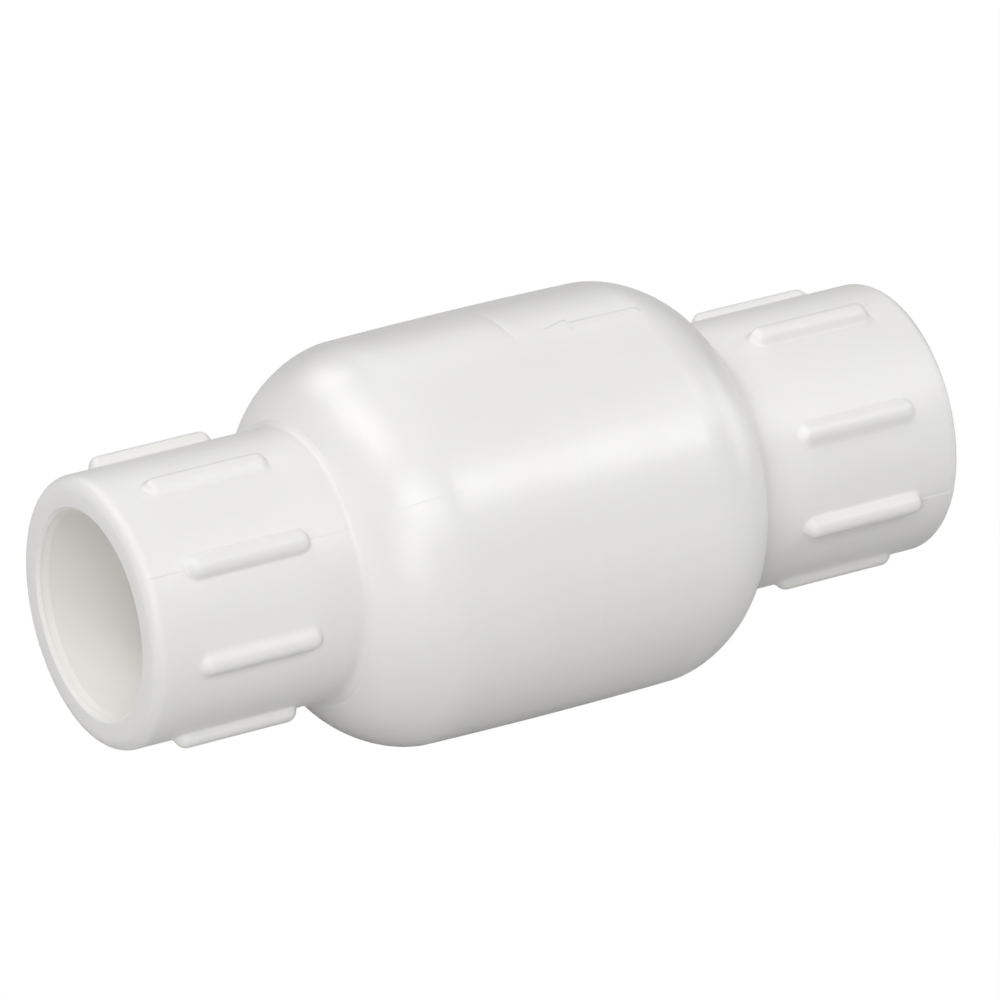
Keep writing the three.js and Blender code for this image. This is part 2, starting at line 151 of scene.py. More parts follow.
# Rings and columns of the shell's grid
RING_SPACING = 1.3
RINGS_PER_RADIAN = 14
HEADING_WINDOW = 81  # points that the outline's heading is averaged over
ARROW_RING = 0.26
ARROW_MARGIN = (0.6, 0.8)  # close rings before the tip and past the tail
RIB_END_MARGIN = 1.0  # close rings before and past a rib's round end
RIB_END_RINGS = 17
RIB_MIDDLE_RINGS = 8
RIM_RINGS = 11
RIB_REACH_DEG = 10.5  # columns lie close together within this of a rib's place
RIB_COLUMNS = 37
WIDE_COLUMNS = 8  # from one rib's reach to the next
SEAM_COLUMNS_DEG = (0.08, 0.16, 0.3, 0.55)  # either side of a seam
ARROW_REACH_DEG = 4.5
ARROW_COLUMN_DEG = 0.4
LEAST_COLUMN_DEG = 0.05


# ---------------------------------------------------------------- outlines

def rounded(corners, steps=4):
    """A polyline through corners of (x, r, fillet radius), with each corner turned into an arc."""
    out = []
    for i, (x, r, fillet) in enumerate(corners):
        here = np.array([x, r], float)
        if fillet == 0 or i in (0, len(corners) - 1):
            out.append(here)
            continue
        before = np.array(corners[i - 1][:2], float) - here
        after = np.array(corners[i + 1][:2], float) - here
        before_unit = before / np.linalg.norm(before)
        after_unit = after / np.linalg.norm(after)
        half = math.acos(np.clip(before_unit @ after_unit, -1, 1)) / 2
        back = fillet / math.tan(half)
        centre_way = before_unit + after_unit
        centre = here + centre_way / np.linalg.norm(centre_way) * fillet / math.sin(half)
        start = here + before_unit * back - centre
        end = here + after_unit * back - centre
        turn = math.pi - 2 * half
        for k in range(steps + 1):
            t = k / steps
            along = math.sin((1 - t) * turn) * start + math.sin(t * turn) * end
            out.append(centre + along / math.sin(turn))
    return [tuple(p) for p in out]


def bulge_profile():
    """Outside of a half from its joint to the straight socket, with a rolling-ball fillet at the neck."""
    crown_points, shoulder_points, neck_points, ball_points = 400, 3000, 600, 121
    past_neck, kept_past_neck = 4, 2.5
    shoulder_u = NECK_U - SHOULDER_LENGTH
    share = 1 - (1 - np.linspace(0, 1, shoulder_points)) ** 2
    u = np.concatenate([
        np.linspace(0, shoulder_u, crown_points)[:-1],
        shoulder_u + share * SHOULDER_LENGTH,
        np.linspace(NECK_U, NECK_U + past_neck, neck_points)[1:],
    ])
    along = np.clip((u - shoulder_u) / SHOULDER_LENGTH, 0, 1)
    body = BODY_R - BODY_CROWN
    r = SOCKET_R + (body - SOCKET_R) * (1 - along ** SHOULDER_POWER) ** (1 / SHOULDER_POWER)
    r = np.where(u < shoulder_u, BODY_R - BODY_CROWN * (u / shoulder_u) ** 2, r)
    ball = NECK_FILLET * np.sin(np.linspace(-math.pi / 2, math.pi / 2, ball_points))
    lift = np.sqrt(np.maximum(NECK_FILLET ** 2 - ball ** 2, 0))
    grown = np.max([np.interp(np.abs(u + t), u, r) + h for t, h in zip(ball, lift)], axis=0)
    closed = np.min([np.interp(np.abs(u + t), u, grown) - h for t, h in zip(ball, lift)], axis=0)
    inside = u < NECK_U + kept_past_neck
    return u[inside], np.maximum(closed, r)[inside]


def resampled(u, r):
    """Points along a curve, closer together where it bends."""
    length = np.hypot(np.diff(u), np.diff(r))
    heading = np.unwrap(np.arctan2(np.gradient(r), np.gradient(u)))
    padded = np.pad(heading, HEADING_WINDOW // 2, mode="edge")
    heading = np.convolve(padded, np.ones(HEADING_WINDOW) / HEADING_WINDOW, mode="valid")
    turning = np.abs(np.diff(heading)) * RINGS_PER_RADIAN
    cost = np.concatenate([[0], np.cumsum(length / RING_SPACING + turning)])
    at = np.linspace(0, cost[-1], int(cost[-1]) + 2)
    return np.interp(at, cost, u), np.interp(at, cost, r)


def rib_stations():
    """Where the rings of the ribbed socket lie: close together at the round ends of the ribs."""
    first, last = RIB_MIDDLE - RIB_LENGTH / 2, RIB_MIDDLE + RIB_LENGTH / 2
    near = np.linspace(first - RIB_END_MARGIN, first + RIB_END_MARGIN + RIB_R, RIB_END_RINGS)
    far = np.linspace(last - RIB_END_MARGIN - RIB_R, last + RIB_END_MARGIN, RIB_END_RINGS)
    middle = np.linspace(near[-1], far[0], RIB_MIDDLE_RINGS)[1:-1]
    return np.concatenate([near, middle, far])


def outer_stations(arrow):
    """(u, r) rings of a half's outside, from the joint to the rim."""
    profile_u, profile_r = bulge_profile()
    u, r = resampled(profile_u, profile_r)
    if arrow:
        fine = np.arange(ARROW_TIP - ARROW_MARGIN[0], ARROW_TAIL + ARROW_MARGIN[1], ARROW_RING)
        apart = 0.05  # least distance from the other rings
        u = np.sort(np.concatenate([u[(u < fine[0] - apart) | (u > fine[-1] + apart)], fine]))
        r = np.interp(u, profile_u, profile_r)
    joint, edge_rings = JOINT_GAP / 2, 4
    rings = [(joint + JOINT_EDGE * (1 - math.cos(a)), BODY_R - JOINT_EDGE * (1 - math.sin(a)))
             for a in np.linspace(0, math.pi / 2, edge_rings)]
    keep = u > joint + 2 * JOINT_EDGE
    rings += zip(u[keep], r[keep])
    rings += [(x, SOCKET_R) for x in rib_stations() if x > rings[-1][0] + 0.1]
    for a in np.linspace(math.pi / 2, 0, RIM_RINGS):
        rings.append((HALF_LENGTH - RIM_ROUND * (1 - math.cos(a)), SOCKET_R - RIM_ROUND * (1 - math.sin(a))))
    return rings


def mouth_and_socket():
    """The face, the mouth's chamfer and the socket, down to the pipe stop and a little way into the port."""
    stop = HALF_LENGTH - SOCKET_DEPTH
    into_port = 1.5
    land_r = ENTRY_R - 0.01
    step = [(HALF_LENGTH - depth * MOUTH_CHAMFER, ENTRY_R + growth * MOUTH_CHAMFER, MOUTH_EDGE)
            for depth, growth in MOUTH_STEPS]
    return rounded([
        (HALF_LENGTH, SOCKET_R - RIM_ROUND, 0),
        (HALF_LENGTH, ENTRY_R + MOUTH_CHAMFER, MOUTH_EDGE),
        *step,
        (HALF_LENGTH - MOUTH_LAND, land_r, STOP_FILLET),
        (stop, BOTTOM_R, STOP_FILLET),
        (stop, PORT_R, PORT_EDGE),
        (stop - into_port, PORT_R, 0),
    ])[1:]


def chamber_shoulder(steps=9):
    """The rounded end of the chamber, from its flat end wall to its straight wall."""
    rise = CHAMBER_R - CHAMBER_END_R
    return [(CHAMBER_U - CHAMBER_SHOULDER * (1 - math.cos(a)), CHAMBER_END_R + rise * math.sin(a))
            for a in np.linspace(0, math.pi / 2, steps)]


def inlet_inside():
    """Port, seat nozzle, chamber and lip of the inlet half."""
    into_port, before_shoulder = 3, 2
    nozzle = rounded([
        (SEAT_U + into_port, PORT_R, 0),
        (SEAT_U, PORT_R, 0.35),
        (SEAT_U, SEAT_LIP_R, 0.3),
        (CHAMBER_U, SEAT_ROOT_R, 0.6),
        (CHAMBER_U, CHAMBER_END_R - CHAMBER_END_FLAT, 0),
    ])
    lip = rounded([
        (CHAMBER_U - CHAMBER_SHOULDER - before_shoulder, CHAMBER_R, 0),
        (-LAP_LENGTH, CHAMBER_R, 0.4),
        (-LAP_LENGTH, LAP_R - LAP_LEAD_IN, 0.2),
        (-LAP_LENGTH + LAP_LEAD_IN, LAP_R, 0.2),
        (JOINT_GAP / 2, LAP_R, 0),
        (JOINT_GAP / 2, BODY_R - JOINT_EDGE, 0),
    ])
    return nozzle + chamber_shoulder() + lip[:-1]


def outlet_inside():
    """Port, guide pocket, chamber and counterbore of the outlet half."""
    into_port, before_shoulder = 1, 2
    pocket = rounded([
        (CHAMBER_U + POCKET_DEPTH + into_port, PORT_R, 0),
        (CHAMBER_U + POCKET_DEPTH, PORT_R, 0.2),
        (CHAMBER_U + POCKET_DEPTH, POCKET_R, 0.2),
        (CHAMBER_U, POCKET_R, 0.2),
        (CHAMBER_U, CHAMBER_END_R - CHAMBER_END_FLAT, 0),
    ])
    counterbore = rounded([
        (CHAMBER_U - CHAMBER_SHOULDER - before_shoulder, CHAMBER_R, 0),
        (LAP_LENGTH + LAP_GAP, CHAMBER_R, 0.2),
        (LAP_LENGTH + LAP_GAP, LAP_R + LAP_GAP, 0.2),
        (JOINT_GAP / 2, LAP_R + LAP_GAP, 0),
        (JOINT_GAP / 2, BODY_R - JOINT_EDGE, 0),
    ])
    return pocket + chamber_shoulder() + counterbore[:-1]


# ---------------------------------------------------------------- meshes

def finish_mesh(name, vertices, faces, sharp_deg=32):
    """An object from vertices in millimetres, smooth except across real edges."""
    mesh = bpy.data.meshes.new(name)
    mesh.from_pydata([tuple(v) for v in np.asarray(vertices) * MM], [], faces)
    mesh.validate()
    mesh.shade_smooth()
    mesh.set_sharp_from_angle(angle=math.radians(sharp_deg))
    obj = bpy.data.objects.new(name, mesh)
    bpy.context.scene.collection.objects.link(obj)
    return obj


def ring_faces(rows, columns, closed_rows):
    """Quads of a grid of rings, closed round each ring and, if asked, from the last ring to the first."""
    faces = []
    last = rows if closed_rows else rows - 1
    for i in range(last):
        a, b = i * columns, ((i + 1) % rows) * columns
        for j in range(columns):
            k = (j + 1) % columns
            faces.append((a + j, b + j, b + k, a + k))
    return faces


def turned(name, outline, sides=128):
    """Turns an outline of (x, r) about the X axis. It is closed, or it starts and ends on the axis."""
    on_axis = outline[0][1] < 1e-9
    rings = outline[1:-1] if on_axis else outline
    angle = np.linspace(0, 2 * math.pi, sides, endpoint=False)
    vertices = [(x, r * math.cos(a), r * math.sin(a)) for x, r in rings for a in angle]
    faces = ring_faces(len(rings), sides, not on_axis)
    if on_axis:
        first, last = len(vertices), len(vertices) + 1
        vertices += [(outline[0][0], 0, 0), (outline[-1][0], 0, 0)]
        end = (len(rings) - 1) * sides
        for j in range(sides):
            k = (j + 1) % sides
            faces.append((first, j, k))
            faces.append((last, end + k, end + j))
    obj = finish_mesh(name, vertices, faces)
    face_outwards(obj)
    return obj


def face_outwards(obj):
    """Turns a closed mesh's faces to point out."""
    work = bmesh.new()
    work.from_mesh(obj.data)
    bmesh.ops.recalc_face_normals(work, faces=work.faces)
    work.to_mesh(obj.data)
    work.free()


def block(name, low, high):
    """A plain box, used as a tool or joined into a moulding."""
    corners = list(product(*zip(low, high)))
    faces = [(0, 1, 3, 2), (4, 6, 7, 5), (0, 4, 5, 1), (2, 3, 7, 6), (0, 2, 6, 4), (1, 5, 7, 3)]
    obj = finish_mesh(name, corners, faces)
    face_outwards(obj)
    return obj


def cross(name, low, high):
    """A tapered cross along X, the tool of a screw's recess. low and high are (x, reach, half width)."""
    corners = []
    for x, reach, half in (low, high):
        for quarter in range(4):
            turn = Matrix.Rotation(quarter * math.pi / 2, 3, "X")
            arm = ((x, reach, -half), (x, reach, half), (x, half, half))
            corners += [turn @ Vector(corner) for corner in arm]
    count = len(corners) // 2
    faces = ring_faces(2, count, False)
    faces += [tuple(range(count)), tuple(range(2 * count - 1, count - 1, -1))]
    obj = finish_mesh(name, corners, faces)
    face_outwards(obj)
    return obj


def apply_modifiers(obj):
    """Bakes an object's modifiers into its mesh."""
    graph = bpy.context.evaluated_depsgraph_get()
    graph.update()
    mesh = bpy.data.meshes.new_from_object(obj.evaluated_get(graph))
    old = obj.data
    obj.modifiers.clear()
    obj.data = mesh
    bpy.data.meshes.remove(old)


def moulded(name, pieces, voxel, smoothing):
    """Fuses closed pieces into one moulding with soft edges."""
    work = bmesh.new()
    for piece in pieces:
        work.from_mesh(piece.data)
        bpy.data.objects.remove(piece)
    mesh = bpy.data.meshes.new(name)
    work.to_mesh(mesh)
    work.free()
    obj = bpy.data.objects.new(name, mesh)
    bpy.context.scene.collection.objects.link(obj)
    remesh = obj.modifiers.new("fuse", "REMESH")
    remesh.mode = "VOXEL"
    remesh.voxel_size = voxel * MM
    smooth = obj.modifiers.new("soften", "SMOOTH")
    smooth.factor = 0.5
    smooth.iterations = smoothing
    apply_modifiers(obj)
    obj.data.shade_smooth()
    return obj


# ---------------------------------------------------------------- shell halves

def soft_min(a, b, reach):
    """The lower of two distances, rounded where they are within reach of each other."""
    near = np.maximum(reach - np.abs(a - b), 0) / reach
    return np.minimum(a, b) - near ** 2 * reach / 4


def smooth_share(value, low, high):
    """0 below low, 1 above high, and a smooth step between them."""
    t = np.clip((value - low) / (high - low), 0, 1)
    return t * t * (3 - 2 * t)


def rib_distance(u, r, angle, seam):
    """Distance to the nearest grip rib. A diagonal rib is lower and has a ramp towards the mould seam."""
    pitch = 2 * math.pi / RIB_COUNT
    index = np.round((angle - seam) / pitch)
    diagonal = np.mod(index, 2) == 1
    towards_seam = np.where(np.mod(index, 4) == 1, -1.0, 1.0)
    off = angle - seam - index * pitch - np.where(diagonal, towards_seam * LOW_RIB_TURN, 0)
    out = r * np.cos(off) - np.where(diagonal, SOCKET_R - LOW_RIB_SINK, SOCKET_R + RIB_RAISE)
    across = r * np.sin(off)
    along = np.maximum(np.abs(u - RIB_MIDDLE) - (RIB_LENGTH / 2 - RIB_R), 0)
    lean = pitch - LOW_RIB_TURN  # from the seam to the rib, with the mould's pull square to the seam
    down = across * towards_seam * math.cos(lean) - out * math.sin(lean)
    level = across * towards_seam * math.sin(lean) + out * math.cos(lean)
    past = np.where(down > 0, np.maximum(down - RIB_RAMP, 0), down)
    ramped = np.sqrt(along ** 2 + past ** 2 + level ** 2)
    plain = np.sqrt(along ** 2 + out ** 2 + across ** 2)
    return np.where(diagonal, ramped, plain) - RIB_R


def with_ribs(u, base, angle, seam):
    """Radius of the ribbed socket, found by halving."""
    below, above, halvings = 0.6, RIB_R + 1.4, 24
    low = np.full(np.broadcast(u, angle).shape, SOCKET_R - below)
    high = low + below + above
    for _ in range(halvings):
        middle = (low + high) / 2
        inside = soft_min(middle - base, rib_distance(u, middle, angle, seam), RIB_FOOT) < 0
        low = np.where(inside, middle, low)
        high = np.where(inside, high, middle)
    return (low + high) / 2


def seam_step(u, r, angle, seam, proud_side, fade):
    """Height of the small step at the two mould seams. It is whole at the mouth and worn further in."""
    off = np.mod(angle - seam + math.pi / 2, math.pi) - math.pi / 2
    arc = off * r
    step = np.tanh(arc / (SEAM_WIDTH / 2)) * np.exp(-(arc / SEAM_REACH) ** 2)
    opposite = np.where(np.cos(angle - seam) > 0, 1.0, -1.0)
    short_wave, long_wave = np.sin(2.3 * u), np.sin(0.9 * u + 1)
    left = np.where(u > RIB_MIDDLE, 1.0, SEAM_LEFT + SEAM_LEFT_SWING * short_wave * long_wave)
    return SEAM_STEP / 2 * proud_side * opposite * step * left * smooth_share(u, *fade)


def arrow_height(u, r, angle):
    """Height of the flow arrow, which points to the outlet."""
    across = np.abs((angle - math.radians(ARROW_ANGLE)) * r)
    shaft = np.maximum(across - ARROW_SHAFT, np.maximum(ARROW_NECK - u, u - ARROW_TAIL))
    slope = ARROW_BARB / (ARROW_NECK + ARROW_BACK - ARROW_TIP)
    flank = (across - (u - ARROW_TIP) * slope) / math.hypot(1, slope)
    head = np.maximum(flank, u - (ARROW_NECK + ARROW_BACK))
    return ARROW_HEIGHT * (1 - smooth_share(np.minimum(shaft, head), -ARROW_EDGE / 2, ARROW_EDGE / 2))


def shell_angles(seam, arrow):
    """Angles of a half's columns: close together at the ribs and seams, and under the arrow."""
    pitch = 360 / RIB_COUNT
    fine = np.linspace(-RIB_REACH_DEG, RIB_REACH_DEG, RIB_COLUMNS)
    wide = np.linspace(RIB_REACH_DEG, pitch - RIB_REACH_DEG, WIDE_COLUMNS)[1:-1]
    angles = []
    for i in range(RIB_COUNT):
        angles.append(seam + i * pitch + fine)
        angles.append(seam + i * pitch + wide)
    by_seam = np.array(SEAM_COLUMNS_DEG)
    for side in (0, 180):
        angles.append(seam + side + np.concatenate([-by_seam[::-1], [0], by_seam]))
    if arrow:
        over_arrow = np.arange(-ARROW_REACH_DEG, ARROW_REACH_DEG, ARROW_COLUMN_DEG)
        angles.append(ARROW_ANGLE + over_arrow)
    merged = np.sort(np.mod(np.concatenate(angles), 360))
    keep = np.concatenate([[True], np.diff(merged) > LEAST_COLUMN_DEG])
    return np.radians(merged[keep])


def shell_half(name, side, seam_deg, inside, proud_side, seam_fade, arrow):
    """One moulded half of the shell. side is 1 towards the inlet and -1 towards the outlet."""
    seam = math.radians(seam_deg)
    outer = np.array(outer_stations(arrow))
    inner = np.array(mouth_and_socket() + inside)
    angle = shell_angles(seam_deg, arrow)[None, :]
    u = outer[:, :1]
    r = np.broadcast_to(outer[:, 1:], (len(outer), angle.shape[1])).copy()
    shows = np.exp(-((np.degrees(angle) - JOINT_OPEN[0]) / JOINT_OPEN[1]) ** 2)
    joint = outer[:, 0] < JOINT_GAP + JOINT_EDGE
    r[joint] = BODY_R - (BODY_R - r[joint]) * (JOINT_FLUSH + (1 - JOINT_FLUSH) * shows)
    ribbed = (outer[:, 0] > NECK_U) & (outer[:, 0] < HALF_LENGTH - RIM_ROUND - 1e-6)
    bare = r.copy()
    r[ribbed] = with_ribs(u[ribbed], r[ribbed], angle, seam)
    r += seam_step(u, r, angle, seam, proud_side, seam_fade) * (1 - smooth_share(r - bare, *SEAM_ON_RIB))
    if arrow:
        r += arrow_height(u, r, angle)
    radius = np.concatenate([r, np.broadcast_to(inner[:, 1:], (len(inner), angle.shape[1]))])
    x = np.broadcast_to(np.concatenate([u, inner[:, :1]]) * side, radius.shape)
    y, z = radius * np.cos(angle), radius * np.sin(angle)
    vertices = np.stack([x, y, z], -1).reshape(-1, 3)
    faces = ring_faces(len(radius), angle.shape[1], True)
    obj = finish_mesh(name, vertices, faces, SHELL_SHARP_DEG)
    face_outwards(obj)
    return obj


# ---------------------------------------------------------------- inner pieces

def poppet_piece():
    """The poppet: stem, stop, spring collar, head and the boss that carries the seal."""
    tip, boss_end = cad_span("poppet", 0)
    head_r = cad_span("poppet", 2)[1]
    head_back, head_face = 9.6, 13.0
    stem_r, stop_r, collar_r, boss_r, pilot_r = 2.4, 3.3, 4.1, 5.0, 1.4
    stop_x, collar_x = -7.7, 7.4
    pilot_end = boss_end - 8.0
    outline = rounded([
        (tip, 0, 0),
        (tip, stem_r, 0.7),
        (stop_x, stem_r, 0.15),
        (stop_x, stop_r, 0.3),
        (collar_x, stop_r, 0.5),
        (collar_x, collar_r, 0.5),
        (head_back, collar_r, 0.4),
        (head_back, head_r, 1.1),
        (head_face, head_r, 0.5),
        (head_face, boss_r, 0.2),
        (boss_end, boss_r, 0.25),
        (boss_end, pilot_r, 0.1),
        (pilot_end, pilot_r, 0),
        (pilot_end - pilot_r, 0, 0),
    ])
    return turned("poppet_moulding", outline)


def seal_piece():
    """The flat seal ring."""
    back, face = cad_span("seat_seal", 0)
    outer = cad_span("seat_seal", 2)[1]
    inner = 5.15
    middle = (inner + outer) / 2
    outline = rounded([
        (face, middle, 0),
        (face, inner, 0.25),
        (back, inner, 0.25),
        (back, outer, 0.35),
        (face, outer, 0.6),
        (face, middle + 0.1, 0),
    ])
    return turned("seat_seal_ring", outline)


def retainer_piece():
    """The plate that holds the seal on, with four wings that slide in the port."""
    back, tip = cad_span("seal_retainer", 0)
    disc_r, thickness, bore_r = 7.3, 1.2, 1.4
    wing_count, wing_r, wing_inner, wing_thickness = 4, 7.6, 4.0, 1.2
    wing_taper, wing_root_r = 0.9, 7.0
    wing_middle = (wing_r + wing_inner) / 2
    front = back + thickness
    disc = turned("disc", [(back, bore_r), (back, disc_r), (front, disc_r), (front, bore_r)], 96)
    pieces = [disc]
    for i in range(wing_count):
        wing = block("wing", (front - thickness / 2, wing_inner, -wing_thickness / 2),
                     (tip, wing_r, wing_thickness / 2))
        for v in wing.data.vertices:
            at_tip, outside = v.co.x > front * MM, v.co.y > wing_middle * MM
            if at_tip:
                v.co.y -= math.copysign(wing_taper * MM, v.co.y - wing_middle * MM)
            elif outside:
                v.co.y = wing_root_r * MM
        wing.data.transform(Matrix.Rotation((i + 0.5) * 2 * math.pi / wing_count, 4, "X"))
        pieces.append(wing)
    return moulded("seal_retainer_moulding", pieces, voxel=0.14, smoothing=4)


def screw_piece():
    """A pan-head screw with a cross recess."""
    tip, top = cad_span("retainer_screw", 0)
    head_r = cad_span("retainer_screw", 2)[1]
    seat, shank_r = 17.0, 1.1
    head_round = 0.45
    outline = rounded([
        (tip, 0, 0),
        (tip + shank_r, shank_r, 0.2),
        (seat, shank_r, 0.1),
        (seat, head_r, 0.15),
        (top - head_round, head_r, 0.75),
        (top, head_r / 2, 0.6),
        (top, 0, 0),
    ])
    screw = turned("retainer_screw_body", outline, 100)
    recess_bottom, recess_top = top - 1.15, top + 0.5
    recess = cross("recess", (recess_bottom, 1.02, 0.27), (recess_top, 1.65, 0.38))
    cut = screw.modifiers.new("recess", "BOOLEAN")
    cut.operation = "DIFFERENCE"
    cut.solver = "EXACT"
    cut.object = recess
    apply_modifiers(screw)
    bpy.data.objects.remove(recess)
    screw.data.shade_smooth()
    screw.data.set_sharp_from_angle(angle=math.radians(30))
    return screw


def guide_piece():
    """The guide: a ring in its pocket, four spokes and a hub with the tube that centres the spring."""
    hub_back, pilot_tip = cad_span("stem_guide", 0)
    ring_r = cad_span("stem_guide", 2)[1]
    ring_back, ring_front, ring_wall = -21.7, -18.7, 1.8
    bore_r, hub_r, pilot_r = 2.7, 5.7, 4.0
    spoke_count, spoke = 4, 2.0
    ring_inner, tube_middle = ring_r - ring_wall, (bore_r + pilot_r) / 2
    ring = turned("ring", rounded([
        (ring_back, ring_r - 1, 0),
        (ring_back, ring_inner, 0.2),
        (ring_front, ring_inner, 0.2),
        (ring_front, ring_r, 0.4),
        (ring_back, ring_r, 0.4),
        (ring_back, ring_r - 0.9, 0),
    ]), 128)
    hub = turned("hub", rounded([
        (pilot_tip, tube_middle, 0),
        (pilot_tip, bore_r, 0.25),
        (hub_back, bore_r, 0.25),
        (hub_back, hub_r, 1.2),
        (ring_front, hub_r, 0.3),
        (ring_front, pilot_r, 0.2),
        (pilot_tip, pilot_r, 0.5),
        (pilot_tip, tube_middle + 0.05, 0),
    ]), 96)
    pieces = [ring, hub]
    in_hub, in_ring = (bore_r + hub_r) / 2, ring_r - ring_wall / 2
    for i in range(spoke_count):
        bar = block("spoke", (ring_back, in_hub, -spoke / 2), (ring_front, in_ring, spoke / 2))
        bar.data.transform(Matrix.Rotation(i * 2 * math.pi / spoke_count, 4, "X"))
        pieces.append(bar)
    return moulded("stem_guide_moulding", pieces, voxel=0.16, smoothing=4)


def spring_piece():
    """The compression spring, with a closed and ground coil at each end."""
    start, end = cad_span("poppet_spring", 0)
    wire, coil_r = 0.3, 5.2  # radii of the wire and of its coils
    active, closed, closed_pitch = 9, 1, 0.62  # turns, turns at each end, and their pitch
    steps, sides = 40, 14
    turns = active + 2 * closed
    t = np.linspace(0, turns, int(turns * steps) + 1)
    middle = np.clip(t - closed, 0, active)
    open_length = end - start - 2 * wire - 2 * closed * closed_pitch
    x = start + wire + (t - middle) * closed_pitch + middle / active * open_length
    angle = 2 * math.pi * t
    centre = np.stack([x, coil_r * np.cos(angle), coil_r * np.sin(angle)], -1)
    out = np.stack([np.zeros_like(x), np.cos(angle), np.sin(angle)], -1)
    along = np.gradient(centre, axis=0)
    along /= np.linalg.norm(along, axis=1)[:, None]
    side = np.cross(along, out)
    around = np.linspace(0, 2 * math.pi, sides, endpoint=False)
    section = np.cos(around)[:, None] * out[:, None] + np.sin(around)[:, None] * side[:, None]
    vertices = (centre[:, None] + wire * section).reshape(-1, 3)
    ground = 0.16  # taken off each end
    vertices[:, 0] = np.clip(vertices[:, 0], start + ground, end - ground)
    faces = ring_faces(len(t), sides, False)
    faces.append(tuple(range(sides)))
    last = (len(t) - 1) * sides
    faces.append(tuple(last + sides - 1 - j for j in range(sides)))
    obj = finish_mesh("poppet_spring_coil", vertices, faces, 50)
    face_outwards(obj)
    return obj


# ---------------------------------------------------------------- materials

class Nodes:
    """A short way to write a material's node tree."""

    def __init__(self, name):
        self.material = bpy.data.materials.new(name)
        self.material.use_nodes = True
        self.tree = self.material.node_tree
        self.shader = self.tree.nodes["Principled BSDF"]

    def add(self, kind, inputs=None, **settings):
        """A new node, with values or sockets for its inputs."""
        node = self.tree.nodes.new(kind)
        for key, value in settings.items():
            setattr(node, key, value)
        for key, value in (inputs or {}).items():
            self.put(node.inputs[key], value)
        return node

    def put(self, socket, value):
        """Links a socket, or sets its value."""
        if isinstance(value, bpy.types.NodeSocket):
            self.tree.links.new(value, socket)
        else:
            socket.default_value = value

    def place(self):
        """Points of the object in its own frame, in metres."""
        return self.add("ShaderNodeTexCoord").outputs["Object"]

    def noise(self, place, scale, detail=2.0):
        """Soft noise, mostly between 0.3 and 0.7."""
        node = self.add("ShaderNodeTexNoise", {"Vector": place, "Scale": scale, "Detail": detail})
        return node.outputs["Fac"]

    def spread(self, value, low, high, from_low=0.3, from_high=0.7):
        """Maps a value from one range to another, by default from noise's usual range."""
        ends = {"From Min": from_low, "From Max": from_high, "To Min": low, "To Max": high}
        return self.add("ShaderNodeMapRange", {"Value": value, **ends}).outputs["Result"]

    def between(self, share, a, b):
        """A colour between two others."""
        mix = self.add("ShaderNodeMix", data_type="RGBA")
        self.put(mix.inputs["Factor"], share)
        self.put(mix.inputs[6], a if isinstance(a, bpy.types.NodeSocket) else (*a, 1))
        self.put(mix.inputs[7], b if isinstance(b, bpy.types.NodeSocket) else (*b, 1))
        return mix.outputs[2]

    def math(self, operation, a, b=0.0):
        node = self.add("ShaderNodeMath", operation=operation)
        self.put(node.inputs[0], a)
        self.put(node.inputs[1], b)
        return node.outputs[0]

    def bump(self, height, distance, normal=None):
        """A bump of a height in metres, on top of another if one is given."""
        node = self.add("ShaderNodeBump", {"Height": height, "Distance": distance})
        if normal is not None:
            self.put(node.inputs["Normal"], normal)
        return node.outputs["Normal"]

    def set(self, **values):
        """Sets the shader's inputs, with _ for each space of a name."""
        for key, value in values.items():
            self.put(self.shader.inputs[key.replace("_", " ")], value)


def shell_pvc():
    """White PVC: a polished mould on the bulge, a blasted one on the sockets, and faint orange peel. Inside
    the bores and ports the colour is painted lighter and warmer, a painted glow for the light that bounces
    round in them.
    """
    polished, blasted = 0.3, 0.42
    neck = NECK_U * MM
    # depth past the socket's entry over which the painted bounce light fades out
    bounce_fade_depth = 0.4 * MM
    m = Nodes("shell_pvc")
    place = m.place()
    x, y, z = m.add("ShaderNodeSeparateXYZ", {"Vector": place}).outputs
    radius = m.math("SQRT", m.math("ADD", m.math("MULTIPLY", y, y), m.math("MULTIPLY", z, z)))
    far = m.math("ABSOLUTE", x)
    socket = m.spread(far, 0.0, 1.0, neck - 2 * MM, neck + 0.5 * MM)
    cloud = m.spread(m.noise(place, 60, 3), 0, 1)
    outside = m.between(cloud, (0.875, 0.868, 0.845), (0.895, 0.89, 0.875))
    # painted bounce light: the bores and ports get a lighter, warmer colour in place of the light that
    # bounces round inside them
    bore_painted_bounce = m.between(cloud, (0.905, 0.886, 0.848), (0.915, 0.9, 0.868))
    # 0 inside the entry radius, where the painted bounce light is, and 1 on the outside
    past_bore_bounce = m.spread(radius, 0.0, 1.0, ENTRY_R * MM, ENTRY_R * MM + bounce_fade_depth)
    m.set(Base_Color=m.between(past_bore_bounce, bore_painted_bounce, outside))
    gloss = m.spread(m.noise(place, 260, 3), -0.02, 0.02)
    m.set(Roughness=m.math("ADD", m.spread(socket, polished, blasted, 0, 1), gloss))
    sink = m.bump(m.noise(place, 55, 2), 0.00006)
    peel = m.bump(m.noise(place, 900, 2), 0.000012, normal=sink)
    grain = m.bump(m.noise(place, 5200, 2), 0.000004, normal=peel)
    m.set(Normal=grain)
    m.set(Specular_IOR_Level=0.5)
    return m.material


def inner_plastic():
    """Natural acetal: off-white and a little waxy."""
    m = Nodes("inner_plastic")
    place = m.place()
    cloud = m.spread(m.noise(place, 120, 3), 0, 1)
    m.set(Base_Color=m.between(cloud, (0.69, 0.67, 0.61), (0.74, 0.72, 0.67)))
    m.set(Roughness=m.spread(m.noise(place, 700, 2), 0.34, 0.44))
    m.set(Normal=m.bump(m.noise(place, 1500, 2), 0.00001))
    return m.material


